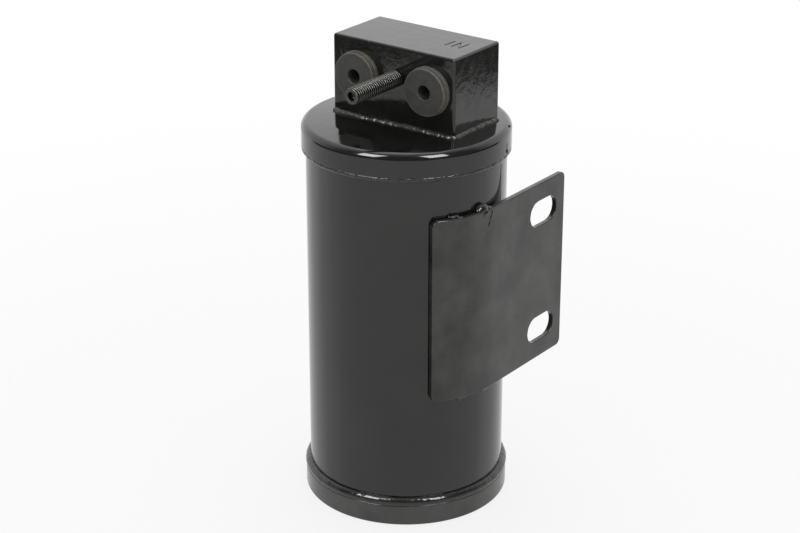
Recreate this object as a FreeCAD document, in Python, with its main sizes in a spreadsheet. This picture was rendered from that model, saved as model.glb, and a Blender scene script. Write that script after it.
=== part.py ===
import FreeCAD, Part

import math
import os

import Sketcher

# Receiver drier for a vehicle air-conditioning circuit, in millimetres.
# The can stands on z = 0 with its axis on the z axis. The block's ports and the
# stud face -y, and the bracket's flat flange faces +x and reaches towards +y.

doc = FreeCAD.newDocument("receiver_drier")
sizes = doc.addObject("Spreadsheet::Sheet", "dim")

DRIVING = {
    # can and its two end caps
    "can_dia": 95.7,
    "can_wall": 2.3,
    "cap_fit": 0.15,
    "cap_wall": 1.9,
    "cap_skirt": 12.6,
    "seat_height": 191.9,
    "crown_dia": 72.0,
    "crown_drop": 0.7,
    "knuckle": 3.4,
    "base_wall": 2.1,
    "base_floor": 2.5,
    "base_height": 11.0,
    "base_round": 1.1,
    # weld beads
    "skirt_bead": 2.1,
    "base_bead_width": 2.3,
    "base_bead_rise": 4.1,
    "base_bead_round": 2.8,
    "block_bead": 1.9,
    "block_bead_round": 1.8,
    "tack_width": 9.0,
    "tack_height": 5.0,
    "tack_thickness": 5.2,
    # block on the top cap
    "block_width": 70.2,
    "block_depth": 36.0,
    "block_height": 37.7,
    "block_x": 0.9,
    "block_y": 6.1,
    "block_round": 1.0,
    "port_x": 1.6,
    "port_pitch": 40.4,
    "port_rise": 20.4,
    "port_bore": 15.0,
    "port_seat": 12.0,
    "drilling_dia": 11.4,
    "passage_dia": 9.7,
    # stud
    "stud_x": 2.8,
    "stud_dia": 7.9,
    "stud_root_dia": 7.2,
    "stud_fit": 0.05,
    "stud_reach": 33.6,
    "stud_root": 14.0,
    "stud_rise": 22.6,
    "stud_chamfer": 0.7,
    "stud_cup_dia": 4.2,
    "stud_cup": 3.5,
    # closing plugs
    "plug_fit": 0.1,
    "plug_shank": 10.0,
    "plug_back_dia": 23.4,
    "plug_back": 2.4,
    "plug_front_dia": 22.7,
    "plug_front": 2.1,
    "plug_bevel": 0.5,
    "plug_hole_dia": 6.8,
    "plug_hole": 9.0,
    # bracket
    "sheet": 2.65,
    "bracket_gap": 0.8,
    "bracket_wrap_angle": 40.4,
    "bracket_reach": 59.9,
    "bracket_clear": 20.9,
    "bracket_height": 92.2,
    "bracket_round": 3.2,
    "slot_width": 12.9,
    "slot_length": 22.3,
    "slot_pitch": 61.2,
    "slot_y": 41.8,
    # filter pack inside the can
    "pack_fit": 0.3,
    "pickup_fit": 0.1,
    "pickup_wall": 1.1,
    "pickup_insert": 12.0,
    "pickup_clear": 4.0,
    "strainer_dia": 16.0,
    "strainer_wall": 0.8,
    "strainer_height": 11.0,
    "plate": 1.2,
    "sump": 16.0,
    "felt": 6.0,
    "bed": 135.0,
    "spring_wire": 2.2,
    "spring_band": 3.2,
    "spring_dia": 66.0,
    "spring_turns": 3.5,
    "hole_dia": 5.0,
    "inner_ring": 16.0,
    "inner_holes": 3,
    "middle_ring": 56.0,
    "middle_holes": 8,
    "outer_ring": 77.0,
    "outer_holes": 12,
}

for row, (alias, value) in enumerate(DRIVING.items(), start=1):
    sizes.set("A%d" % row, alias)
    sizes.set("B%d" % row, str(value))
    sizes.setAlias("B%d" % row, alias)
doc.recompute()

# Places that several pieces share, as formulas of the sheet.
CAN_RADIUS = "dim.can_dia / 2"
BORE_RADIUS = "(dim.can_dia / 2 - dim.can_wall)"
SLEEVE_RADIUS = "(dim.can_dia / 2 + dim.cap_fit)"
CAP_RADIUS = "(dim.can_dia / 2 + dim.cap_fit + dim.cap_wall)"
BASE_RADIUS = "(dim.can_dia / 2 + dim.cap_fit + dim.base_wall)"
CAP_EDGE = "(dim.seat_height - dim.cap_skirt)"
CAP_INSIDE = "(dim.seat_height - dim.cap_wall)"
TUBE_TOP = "(dim.seat_height - dim.cap_wall - dim.crown_drop - dim.knuckle)"
BLOCK_FRONT = "(dim.block_y - dim.block_depth / 2)"
INLET_X = "(dim.port_x + dim.port_pitch / 2)"
OUTLET_X = "(dim.port_x - dim.port_pitch / 2)"
PORT_Z = "(dim.seat_height + dim.port_rise)"
PICKUP_DIA = "(dim.passage_dia - 2 * dim.pickup_fit)"
BRACKET_INSIDE = "(dim.can_dia / 2 + dim.bracket_gap)"
BRACKET_OUTSIDE = "(dim.can_dia / 2 + dim.bracket_gap + dim.sheet)"
BRACKET_TOP = "(dim.seat_height - dim.cap_skirt - dim.bracket_clear)"
BRACKET_LOW = "(dim.seat_height - dim.cap_skirt - dim.bracket_clear - dim.bracket_height)"
PLATE_TOP = "(dim.base_floor + dim.sump)"
BED_BOTTOM = "(dim.base_floor + dim.sump + dim.felt)"
BED_TOP = "(dim.base_floor + dim.sump + dim.felt + dim.bed)"
FELT_TOP = "(dim.base_floor + dim.sump + 2 * dim.felt + dim.bed)"
PACK_TOP = "(dim.base_floor + dim.sump + 2 * dim.felt + dim.bed + dim.plate)"
PACK_RADIUS = "(dim.can_dia / 2 - dim.can_wall - dim.pack_fit)"


def size(alias):
    return DRIVING[alias]


def newBody(name):
    body = doc.addObject("PartDesign::Body", name)
    body.Label = name
    return body


def bind(thing, **formulas):
    for prop, formula in formulas.items():
        thing.setExpression(prop.replace("__", "."), formula)


def place(thing, x="0", y="0", z="0"):
    bind(thing, Placement__Base__x=x, Placement__Base__y=y, Placement__Base__z=z)


def newSketch(body, name, role="XY_Plane", offset=None):
    plane = [item for item in body.Origin.OriginFeatures if item.Role == role][0]
    sketch = body.newObject("Sketcher::SketchObject", name)
    sketch.AttachmentSupport = [(plane, "")]
    sketch.MapMode = "FlatFace"
    if offset:
        bind(sketch, AttachmentOffset__Base__z=offset)
    return sketch


def constrain(sketch, kind, *where, formula=None):
    index = sketch.addConstraint(Sketcher.Constraint(kind, *where))
    if formula:
        sketch.setExpression("Constraints[%d]" % index, formula)


def polygon(sketch, corners):
    # Closed outline, anticlockwise. Each corner is a pair of formulas, and a third one
    # makes the edge that leaves it an outward arc of that radius. Construction points
    # hold the corners, and the edges join them.
    count = len(corners)
    first = sketch.GeometryCount
    for corner in corners:
        index = sketch.addGeometry(Part.Point(FreeCAD.Vector(1, 1, 0)), True)
        constrain(sketch, "DistanceX", index, 1, 1.0, formula=corner[0])
        constrain(sketch, "DistanceY", index, 1, 1.0, formula=corner[1])
    doc.recompute()
    spots = [sketch.getPoint(first + step, 1) for step in range(count)]
    for step, corner in enumerate(corners):
        after = (step + 1) % count
        span = spots[after] - spots[step]
        if len(corner) == 3:
            crest = spots[step] + span / 2 + FreeCAD.Vector(span.y, -span.x, 0) / 20
            edge = sketch.addGeometry(Part.ArcOfCircle(spots[step], crest, spots[after]), False)
        else:
            edge = sketch.addGeometry(Part.LineSegment(spots[step], spots[after]), False)
        constrain(sketch, "Coincident", edge, 1, first + step, 1)
        constrain(sketch, "Coincident", edge, 2, first + after, 1)
        if len(corner) == 3:
            constrain(sketch, "Radius", edge, span.Length, formula=corner[2])


def circle(sketch, diameter, across="0", along="0"):
    index = sketch.addGeometry(Part.Circle(FreeCAD.Vector(5, 5, 0), FreeCAD.Vector(0, 0, 1), 3), False)
    constrain(sketch, "Diameter", index, 6.0, formula=diameter)
    constrain(sketch, "DistanceX", index, 3, 5.0, formula=across)
    constrain(sketch, "DistanceY", index, 3, 5.0, formula=along)


def revolve(body, corners, name="turned"):
    # Turned piece: corners are (radius, height) formulas, turned about the z axis.
    sketch = newSketch(body, name + "_profile", "XZ_Plane")
    polygon(sketch, corners)
    turned = body.newObject("PartDesign::Revolution", name)
    turned.Profile = sketch
    turned.ReferenceAxis = (sketch, ["V_Axis"])
    turned.Angle = 360
    doc.recompute()
    return turned


def pad(body, sketch, length, name="pad"):
    feature = body.newObject("PartDesign::Pad", name)
    feature.Profile = sketch
    bind(feature, Length=length)
    doc.recompute()
    return feature


def pocket(body, sketch, name, depth=None, upward=False):
    # Without a depth the pocket goes through the whole piece, both ways.
    feature = body.newObject("PartDesign::Pocket", name)
    feature.Profile = sketch
    feature.Reversed = upward
    if depth:
        bind(feature, Length=depth)
    else:
        feature.Type = "ThroughAll"
        feature.Midplane = True
    before = body.Shape.Volume
    doc.recompute()
    if feature.Shape.Volume > before - 0.01:
        raise RuntimeError("%s cuts nothing" % feature.Label)
    return feature


def dress(body, kind, name, base, chosen, amount):
    # Rounds or bevels the edges of base that the chosen test accepts.
    edges = []
    for index, edge in enumerate(base.Shape.Edges, start=1):
        if chosen(edge):
            edges.append("Edge%d" % index)
    feature = body.newObject("PartDesign::" + kind, name)
    feature.Base = (base, edges)
    bind(feature, **{"Radius" if kind == "Fillet" else "Size": amount})
    doc.recompute()
    return feature


def ringEdge(radius, height):
    # Test for a whole circular edge about the z axis.
    def chosen(edge):
        curve = edge.Curve
        if not isinstance(curve, Part.Circle):
            return False
        return abs(curve.Radius - radius) < 0.01 and abs(curve.Center.z - height) < 0.01
    return chosen


def solidOf(kind, name, **formulas):
    solid = doc.addObject("Part::" + kind, name)
    bind(solid, **formulas)
    return solid


def cut(name, base, tool):
    result = doc.addObject("Part::Cut", name)
    result.Base = base
    result.Tool = tool
    result.Label = name
    return result


# Can wall
def buildTube():
    body = newBody("can_tube")
    corners = [
        (BORE_RADIUS, "dim.base_floor"),
        (CAN_RADIUS, "dim.base_floor"),
        (CAN_RADIUS, TUBE_TOP),
        (BORE_RADIUS, TUBE_TOP),
    ]
    revolve(body, corners)
    return body


# Top cap: flat seat, shallow crown, knuckle and skirt, with one hole under each port
def buildTopCap():
    body = newBody("top_cap")
    knee = "(dim.seat_height - dim.crown_drop)"
    run = "(%s - dim.crown_dia / 2)" % CAP_RADIUS
    crown = "(%s ^ 2 + dim.crown_drop ^ 2) / (2 * dim.crown_drop)" % run
    corners = [
        ("0", "dim.seat_height"),
        ("0", CAP_INSIDE),
        ("dim.crown_dia / 2", CAP_INSIDE),
        (SLEEVE_RADIUS, knee + " - dim.cap_wall"),
        (SLEEVE_RADIUS, CAP_EDGE),
        (CAP_RADIUS, CAP_EDGE),
        (CAP_RADIUS, knee, crown),
        ("dim.crown_dia / 2", "dim.seat_height"),
    ]
    shell = revolve(body, corners)
    sleeve = size("can_dia") / 2 + size("cap_fit")
    kneeHeight = size("seat_height") - size("crown_drop")
    outside = ringEdge(sleeve + size("cap_wall"), kneeHeight)
    inside = ringEdge(sleeve, kneeHeight - size("cap_wall"))
    shell = dress(body, "Fillet", "knuckle", shell, outside, "dim.knuckle")
    dress(body, "Fillet", "inner_knuckle", shell, inside, "dim.knuckle - dim.cap_wall")
    holes = newSketch(body, "passage_holes", offset="dim.seat_height")
    for across in (INLET_X, OUTLET_X):
        circle(holes, "dim.passage_dia", across, "dim.block_y")
    pocket(body, holes, "passages", depth="2 * dim.cap_wall")
    return body


# Bottom cap: a flat-bottomed cup that the tube stands in
def buildBottomCap():
    body = newBody("bottom_cap")
    corners = [
        ("0", "0"),
        (BASE_RADIUS, "0"),
        (BASE_RADIUS, "dim.base_height"),
        (SLEEVE_RADIUS, "dim.base_height"),
        (SLEEVE_RADIUS, "dim.base_floor"),
        ("0", "dim.base_floor"),
    ]
    cup = revolve(body, corners)
    foot = ringEdge(size("can_dia") / 2 + size("cap_fit") + size("base_wall"), 0)
    dress(body, "Fillet", "foot_round", cup, foot, "dim.base_round")
    return body


# Fillet weld in the corner under the top cap's skirt: a quarter of a ring's section
def buildSkirtWeld():
    bead = solidOf("Torus", "top_weld", Radius1=CAN_RADIUS, Radius2="dim.skirt_bead")
    bead.Angle1 = 0
    bead.Angle2 = 90
    place(bead, z=CAP_EDGE)
    bead.Label = "top_weld"
    return bead


# Full weld on the bottom cap's rim, rounded out from the tube
def buildBaseWeld():
    body = newBody("bottom_weld")
    corners = [
        (CAN_RADIUS, "dim.base_height"),
        (CAN_RADIUS + " + dim.base_bead_width", "dim.base_height", "dim.base_bead_round"),
        (CAN_RADIUS, "dim.base_height + dim.base_bead_rise"),
    ]
    revolve(body, corners)
    return body


# Block: drilled from the front for the ports and the stud, and from below for the gas
def buildBlock():
    body = newBody("manifold_block")
    footprint = newSketch(body, "footprint", offset="dim.seat_height")
    left = "dim.block_x - dim.block_width / 2"
    right = "dim.block_x + dim.block_width / 2"
    back = "dim.block_y + dim.block_depth / 2"
    polygon(footprint, [(left, BLOCK_FRONT), (right, BLOCK_FRONT), (right, back), (left, back)])
    block = pad(body, footprint, "dim.block_height", "blank")
    foot = size("seat_height")

    def aboveFoot(edge):
        return max(vertex.Z for vertex in edge.Vertexes) > foot + 0.01

    dress(body, "Fillet", "broken_edges", block, aboveFoot, "dim.block_round")
    front = "-" + BLOCK_FRONT
    for label, across in (("inlet", INLET_X), ("outlet", OUTLET_X)):
        seat = newSketch(body, label + "_seat", "XZ_Plane", front)
        circle(seat, "dim.port_bore", across, PORT_Z)
        pocket(body, seat, label + "_port", depth="dim.port_seat")
        drill = newSketch(body, label + "_bore", "XZ_Plane", front)
        circle(drill, "dim.drilling_dia", across, PORT_Z)
        pocket(body, drill, label + "_drilling", depth="(dim.block_depth + dim.drilling_dia) / 2")
        drop = newSketch(body, label + "_drop", offset="dim.seat_height")
        circle(drop, "dim.passage_dia", across, "dim.block_y")
        pocket(body, drop, label + "_passage", depth="dim.port_rise", upward=True)
    tapped = newSketch(body, "stud_bore", "XZ_Plane", front)
    bore = "dim.stud_root_dia + 2 * dim.stud_fit"
    circle(tapped, bore, "dim.stud_x", "dim.seat_height + dim.stud_rise")
    pocket(body, tapped, "stud_hole", depth="dim.stud_root")
    return body


# Fillet weld round the block's foot
def buildBlockWeld():
    body = newBody("block_weld")

    def rectangle(sketch, grow):
        left = "dim.block_x - dim.block_width / 2 - " + grow
        right = "dim.block_x + dim.block_width / 2 + " + grow
        front = "dim.block_y - dim.block_depth / 2 - " + grow
        back = "dim.block_y + dim.block_depth / 2 + " + grow
        polygon(sketch, [(left, front), (right, front), (right, back), (left, back)])

    outline = newSketch(body, "weld_outline", offset="dim.seat_height")
    rectangle(outline, "dim.block_bead")
    slab = pad(body, outline, "dim.block_bead", "slab")
    foot = size("seat_height")

    def aboveFoot(edge):
        return max(vertex.Z for vertex in edge.Vertexes) > foot + 0.01

    dress(body, "Fillet", "bead", slab, aboveFoot, "dim.block_bead_round")
    inside = newSketch(body, "weld_inside", offset="dim.seat_height")
    rectangle(inside, "0")
    pocket(body, inside, "block_room")
    return body


# Stud: modelled along its own z axis, then laid to stand out of the block's front
def buildStud():
    body = newBody("stud")
    radius = "dim.stud_dia / 2"
    corners = [
        ("0", "-dim.stud_root"),
        ("dim.stud_root_dia / 2", "-dim.stud_root"),
        ("dim.stud_root_dia / 2", "0"),
        (radius, "0"),
        (radius, "dim.stud_reach - dim.stud_chamfer"),
        (radius + " - dim.stud_chamfer", "dim.stud_reach"),
        ("dim.stud_cup_dia / 2", "dim.stud_reach"),
        ("dim.stud_cup_dia / 2", "dim.stud_reach - dim.stud_cup"),
        ("0", "dim.stud_reach - dim.stud_cup"),
    ]
    revolve(body, corners)
    layInFront(body, "dim.stud_x", "dim.seat_height + dim.stud_rise")
    return body


def layInFront(body, across, height):
    body.Placement.Rotation = FreeCAD.Rotation(FreeCAD.Vector(1, 0, 0), 90)
    place(body, across, BLOCK_FRONT, height)


# Closing plug: shank in the port, stepped flange against the block, blind hole
def buildPlug(name, across):
    body = newBody(name)
    shank = "(dim.port_bore / 2 - dim.plug_fit)"
    front = "(dim.plug_back + dim.plug_front)"
    hole = "dim.plug_hole_dia / 2"
    corners = [
        ("0", "-dim.plug_shank"),
        (shank + " - dim.plug_bevel", "-dim.plug_shank"),
        (shank, "-dim.plug_shank + dim.plug_bevel"),
        (shank, "0"),
        ("dim.plug_back_dia / 2", "0"),
        ("dim.plug_back_dia / 2", "dim.plug_back"),
        ("dim.plug_front_dia / 2", "dim.plug_back"),
        ("dim.plug_front_dia / 2", front + " - dim.plug_bevel"),
        ("dim.plug_front_dia / 2 - dim.plug_bevel", front),
        (hole, front),
        (hole, front + " - dim.plug_hole"),
        ("0", front + " - dim.plug_hole"),
    ]
    revolve(body, corners)
    layInFront(body, across, PORT_Z)
    return body


# Bracket: one sheet that follows the can and then runs straight to the slots
def buildBracket():
    body = newBody("mounting_bracket")
    sketch = newSketch(body, "bend", offset=BRACKET_LOW)
    inside = size("can_dia") / 2 + size("bracket_gap")
    outside = inside + size("sheet")
    start = -math.radians(size("bracket_wrap_angle"))
    reach = size("bracket_reach")
    centre = FreeCAD.Vector(0, 0, 0)
    upright = FreeCAD.Vector(0, 0, 1)
    edges = []
    for radius in (inside, outside):
        ring = Part.Circle(centre, upright, radius)
        edges.append(Part.ArcOfCircle(ring, start, 0))
    for radius in (inside, outside):
        foot = FreeCAD.Vector(radius, 0, 0)
        edges.append(Part.LineSegment(foot, FreeCAD.Vector(radius, reach, 0)))
    ends = [FreeCAD.Vector(radius, reach, 0) for radius in (inside, outside)]
    edges.append(Part.LineSegment(ends[0], ends[1]))
    rim = [FreeCAD.Vector(r * math.cos(start), r * math.sin(start), 0) for r in (inside, outside)]
    edges.append(Part.LineSegment(rim[0], rim[1]))
    sketch.addGeometry(edges, False)
    innerArc, outerArc, innerFlange, outerFlange, farEdge, nearEdge = range(6)
    for arc, flange, radius in ((innerArc, innerFlange, BRACKET_INSIDE), (outerArc, outerFlange, BRACKET_OUTSIDE)):
        constrain(sketch, "Coincident", arc, 3, -1, 1)
        constrain(sketch, "Coincident", arc, 2, flange, 1)
        constrain(sketch, "PointOnObject", arc, 2, -1)
        constrain(sketch, "Vertical", flange)
        constrain(sketch, "Radius", arc, 50.0, formula=radius)
    constrain(sketch, "Coincident", innerFlange, 2, farEdge, 1)
    constrain(sketch, "Coincident", outerFlange, 2, farEdge, 2)
    constrain(sketch, "Horizontal", farEdge)
    constrain(sketch, "Coincident", innerArc, 1, nearEdge, 1)
    constrain(sketch, "Coincident", outerArc, 1, nearEdge, 2)
    constrain(sketch, "PointOnObject", -1, 1, nearEdge)
    constrain(sketch, "Angle", nearEdge, start, formula="-dim.bracket_wrap_angle")
    constrain(sketch, "DistanceY", outerFlange, 2, reach, formula="dim.bracket_reach")
    strip = pad(body, sketch, "dim.bracket_height", "strip")
    high = size("seat_height") - size("cap_skirt") - size("bracket_clear")
    low = high - size("bracket_height")

    def corner(edge):
        # The four short edges that run across the sheet at its ends.
        tops = [vertex.Z for vertex in edge.Vertexes]
        level = abs(tops[0] - tops[-1]) < 0.01 and (abs(tops[0] - low) < 0.01 or abs(tops[0] - high) < 0.01)
        return level and abs(edge.Length - size("sheet")) < 0.01

    dress(body, "Fillet", "corner_rounds", strip, corner, "dim.bracket_round")
    slots = newSketch(body, "slot_outlines", "YZ_Plane")
    for side in ("-", "+"):
        slot(slots, "dim.slot_y", "%s - dim.bracket_height / 2 %s dim.slot_pitch / 2" % (BRACKET_TOP, side))
    pocket(body, slots, "slots")
    return body


def slot(sketch, along, height):
    # Round-ended slot lying along the sketch's first axis.
    radius = size("slot_width") / 2
    half = size("slot_length") / 2 - radius
    upright = FreeCAD.Vector(0, 0, 1)
    first = sketch.GeometryCount
    far, near, upper, lower = range(first, first + 4)
    left = FreeCAD.Vector(-half, 0, 0)
    right = FreeCAD.Vector(half, 0, 0)
    rise = FreeCAD.Vector(0, radius, 0)
    quarter = math.pi / 2
    sketch.addGeometry(Part.ArcOfCircle(Part.Circle(right, upright, radius), -quarter, quarter), False)
    sketch.addGeometry(Part.ArcOfCircle(Part.Circle(left, upright, radius), quarter, 3 * quarter), False)
    sketch.addGeometry(Part.LineSegment(right + rise, left + rise), False)
    sketch.addGeometry(Part.LineSegment(left - rise, right - rise), False)
    constrain(sketch, "Tangent", far, 2, upper, 1)
    constrain(sketch, "Tangent", upper, 2, near, 1)
    constrain(sketch, "Tangent", near, 2, lower, 1)
    constrain(sketch, "Tangent", lower, 2, far, 1)
    constrain(sketch, "Horizontal", upper)
    constrain(sketch, "Radius", far, radius, formula="dim.slot_width / 2")
    offset = "(dim.slot_length - dim.slot_width) / 2"
    constrain(sketch, "DistanceX", far, 3, half, formula="%s + %s" % (along, offset))
    constrain(sketch, "DistanceX", near, 3, -half, formula="%s - %s" % (along, offset))
    constrain(sketch, "DistanceY", far, 3, 0.0, formula=height)


# Tack welds: lumps on the bracket's edges that bridge the gap to the can
def buildTack(name, angle, edge, bracket):
    lump = solidOf("Ellipsoid", name + "_lump", Radius1="dim.tack_height / 2", Radius2="dim.tack_width / 2")
    bind(lump, Radius3="dim.tack_thickness / 2")
    turn = FreeCAD.Rotation(FreeCAD.Vector(0, 0, 1), angle + 90)
    lump.Placement.Rotation = turn
    middle = "(dim.can_dia / 2 + (dim.bracket_gap + dim.sheet) / 2)"
    place(lump, "%s * cos(%s)" % (middle, angle), "%s * sin(%s)" % (middle, angle), edge)
    core = solidOf("Cylinder", name + "_core", Radius=CAN_RADIUS, Height="dim.seat_height")
    outer = cut(name + "_outer", lump, core)
    return cut(name, outer, bracket)


# Pickup tube: from the sump to the outlet's passage in the block
def buildPickup():
    body = newBody("pickup_tube")
    low = "dim.base_floor + dim.pickup_clear"
    sketch = newSketch(body, "section", offset=low)
    for wall in ("", " - 2 * dim.pickup_wall"):
        circle(sketch, PICKUP_DIA + wall, OUTLET_X, "dim.block_y")
    pad(body, sketch, "dim.seat_height + dim.pickup_insert - dim.base_floor - dim.pickup_clear", "length")
    return body


# Gauze cup over the tube's lower end, standing on the can's floor
def buildStrainer():
    body = newBody("pickup_strainer")
    outer = "dim.strainer_dia / 2"
    grip = PICKUP_DIA + " / 2 + dim.pickup_fit"
    corners = [
        ("0", "0"),
        (outer, "0"),
        (outer, "dim.strainer_height"),
        (grip, "dim.strainer_height"),
        (grip, "dim.strainer_height - dim.strainer_wall"),
        (outer + " - dim.strainer_wall", "dim.strainer_height - dim.strainer_wall"),
        (outer + " - dim.strainer_wall", "dim.strainer_wall"),
        ("0", "dim.strainer_wall"),
    ]
    revolve(body, corners)
    place(body, OUTLET_X, "dim.block_y", "dim.base_floor")
    return body


def perforate(body, level):
    # Three rings of holes and the hole that the pickup tube passes through.
    for label in ("inner", "middle", "outer"):
        sketch = newSketch(body, label + "_hole", offset=level)
        circle(sketch, "dim.hole_dia", "dim.%s_ring / 2" % label)
        hole = pocket(body, sketch, label + "_punch", depth="2 * dim.plate")
        ring = body.newObject("PartDesign::PolarPattern", label + "_holes")
        ring.Originals = [hole]
        ring.Axis = (sketch, ["N_Axis"])
        ring.Angle = 360
        body.Tip = ring
        bind(ring, Occurrences="dim.%s_holes" % label)
        doc.recompute()
    passTube(body, level, "2 * dim.plate")


def passTube(body, level, depth):
    # Clearance hole for the pickup tube, cut down from the level.
    sketch = newSketch(body, "tube_hole", offset=level)
    circle(sketch, PICKUP_DIA + " + 2 * dim.pickup_fit", OUTLET_X, "dim.block_y")
    pocket(body, sketch, "tube_room", depth=depth)


# Lower plate: a perforated cup, open below, that stands on the can's floor
def buildLowerPlate():
    body = newBody("lower_plate")
    inner = PACK_RADIUS + " - dim.plate"
    corners = [
        ("0", PLATE_TOP),
        (PACK_RADIUS, PLATE_TOP),
        (PACK_RADIUS, "dim.base_floor"),
        (inner, "dim.base_floor"),
        (inner, PLATE_TOP + " - dim.plate"),
        ("0", PLATE_TOP + " - dim.plate"),
    ]
    revolve(body, corners)
    perforate(body, PLATE_TOP)
    return body


def buildDisc(name, bottom, thickness, holes=False):
    # Layer of the pack: a disc that fills the bore, with room for the pickup tube.
    body = newBody(name)
    sketch = newSketch(body, "outline", offset=bottom)
    circle(sketch, "2 * " + PACK_RADIUS)
    pad(body, sketch, thickness, "layer")
    top = "%s + %s" % (bottom, thickness)
    if holes:
        perforate(body, top)
    else:
        passTube(body, top, "2 * " + thickness)
    return body


# Spring: a flat-wire coil from the upper plate to the flat of the top cap
def buildSpring():
    body = newBody("pack_spring")
    section = newSketch(body, "wire_section", "XZ_Plane")
    inner = "dim.spring_dia / 2 - dim.spring_band"
    outer = "dim.spring_dia / 2"
    top = PACK_TOP + " + dim.spring_wire"
    polygon(section, [(inner, PACK_TOP), (outer, PACK_TOP), (outer, top), (inner, top)])
    coil = body.newObject("PartDesign::AdditiveHelix", "coil")
    coil.Profile = section
    coil.ReferenceAxis = (section, ["V_Axis"])
    coil.Mode = 2
    bind(coil, Turns="dim.spring_turns", Height="%s - %s - dim.spring_wire" % (CAP_INSIDE, PACK_TOP))
    doc.recompute()
    return body


def buildDrier():
    pieces = [buildTube(), buildTopCap(), buildBottomCap(), buildSkirtWeld(), buildBaseWeld()]
    pieces += [buildBlock(), buildBlockWeld(), buildStud()]
    pieces.append(buildPlug("inlet_plug", INLET_X))
    pieces.append(buildPlug("outlet_plug", OUTLET_X))
    bracket = buildBracket()
    pieces.append(bracket)
    tacks = ((-26, BRACKET_TOP), (-9, BRACKET_TOP), (-22, BRACKET_LOW), (-4.5, BRACKET_LOW))
    for number, (angle, edge) in enumerate(tacks, start=1):
        pieces.append(buildTack("bracket_weld_%d" % number, angle, edge, bracket))
    pieces += [buildPickup(), buildStrainer(), buildLowerPlate()]
    pieces.append(buildDisc("lower_filter", PLATE_TOP, "dim.felt"))
    pieces.append(buildDisc("desiccant_bed", BED_BOTTOM, "dim.bed"))
    pieces.append(buildDisc("upper_filter", BED_TOP, "dim.felt"))
    pieces.append(buildDisc("upper_plate", FELT_TOP, "dim.plate", holes=True))
    pieces.append(buildSpring())
    return pieces


pieces = buildDrier()
doc.recompute()
for item in doc.Objects:
    if "Invalid" in item.State or "Error" in item.State:
        raise RuntimeError("%s is not sound: %s" % (item.Label, item.State))
for piece in pieces:
    if piece.Shape.isNull() or not piece.Shape.isValid() or not piece.Shape.Solids:
        raise RuntimeError("%s has no sound shape" % piece.Label)

os.makedirs("parts", exist_ok=True)
for piece in pieces:
    piece.Shape.exportStep("parts/%s.step" % piece.Label)
    print("%-20s %10.1f mm3" % (piece.Label, piece.Shape.Volume))
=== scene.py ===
from functools import partial
from math import atan2, ceil, copysign, cos, hypot, pi, radians, sin, tan

import bmesh
import bpy
import numpy as np
from mathutils import Matrix, Vector, noise
from mathutils.geometry import delaunay_2d_cdt


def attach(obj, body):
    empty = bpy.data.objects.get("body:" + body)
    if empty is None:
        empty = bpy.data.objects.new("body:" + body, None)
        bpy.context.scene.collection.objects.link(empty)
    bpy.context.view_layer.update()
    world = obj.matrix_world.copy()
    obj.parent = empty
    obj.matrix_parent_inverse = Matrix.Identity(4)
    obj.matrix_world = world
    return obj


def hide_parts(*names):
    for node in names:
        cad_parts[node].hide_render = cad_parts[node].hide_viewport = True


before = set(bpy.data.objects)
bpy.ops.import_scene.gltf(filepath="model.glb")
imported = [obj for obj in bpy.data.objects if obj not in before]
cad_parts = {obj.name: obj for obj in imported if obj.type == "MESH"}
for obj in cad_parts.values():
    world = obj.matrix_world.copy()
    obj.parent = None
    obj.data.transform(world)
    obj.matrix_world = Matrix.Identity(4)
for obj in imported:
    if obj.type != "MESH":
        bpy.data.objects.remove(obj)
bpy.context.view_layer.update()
mm = 0.001


def linearColour(text):
    # sRGB hex to the linear values that shader sockets take
    values = [int(text[i:i + 2], 16) / 255 for i in (1, 3, 5)]
    return tuple(v / 12.92 if v <= 0.04045 else ((v + 0.055) / 1.055) ** 2.4 for v in values) + (1.0,)


def addNode(tree, kind, inputs=(), stops=(), **settings):
    # One node with its settings and links; a shader node goes without its prefix. Inputs are named, or listed
    # in the node's own order, and each takes a value, an output, or a node for its first output. A ramp's
    # stops are (position, hex colour).
    node = tree.nodes.new(kind if "Node" in kind else "ShaderNode" + kind)
    for name, value in settings.items():
        setattr(node, name, value)
    for name, value in inputs.items() if isinstance(inputs, dict) else enumerate(inputs):
        if isinstance(value, bpy.types.Node):
            value = value.outputs[0]
        if isinstance(value, bpy.types.NodeSocket):
            tree.links.new(value, node.inputs[name])
        else:
            node.inputs[name].default_value = value
    while stops and len(node.color_ramp.elements) < len(stops):
        node.color_ramp.elements.new(1.0)
    for element, (position, colour) in zip(node.color_ramp.elements if stops else (), stops):
        element.position = position
        element.color = linearColour(colour)
    return node


def newMaterial(name):
    # an empty material, what adds its nodes, and the place on the piece that its patterns read
    material = bpy.data.materials.new(name)
    material.use_nodes = True
    material.node_tree.nodes.clear()
    add = partial(addNode, material.node_tree)
    return material, add, add("TexCoord").outputs["Object"]


def closeMaterial(add, inputs):
    add("OutputMaterial", {"Surface": add("BsdfPrincipled", inputs)})


def closePatterned(add, pattern, stops, roughness, relief, depth, metallic=0.0):
    # one pattern colours the surface and another, depth millimetres deep, gives its relief
    bump = add("Bump", {"Height": relief, "Distance": depth * mm})
    closeMaterial(add, {
        "Base Color": add("ValToRGB", (pattern,), stops), "Roughness": roughness, "Metallic": metallic,
        "Normal": bump})


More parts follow.
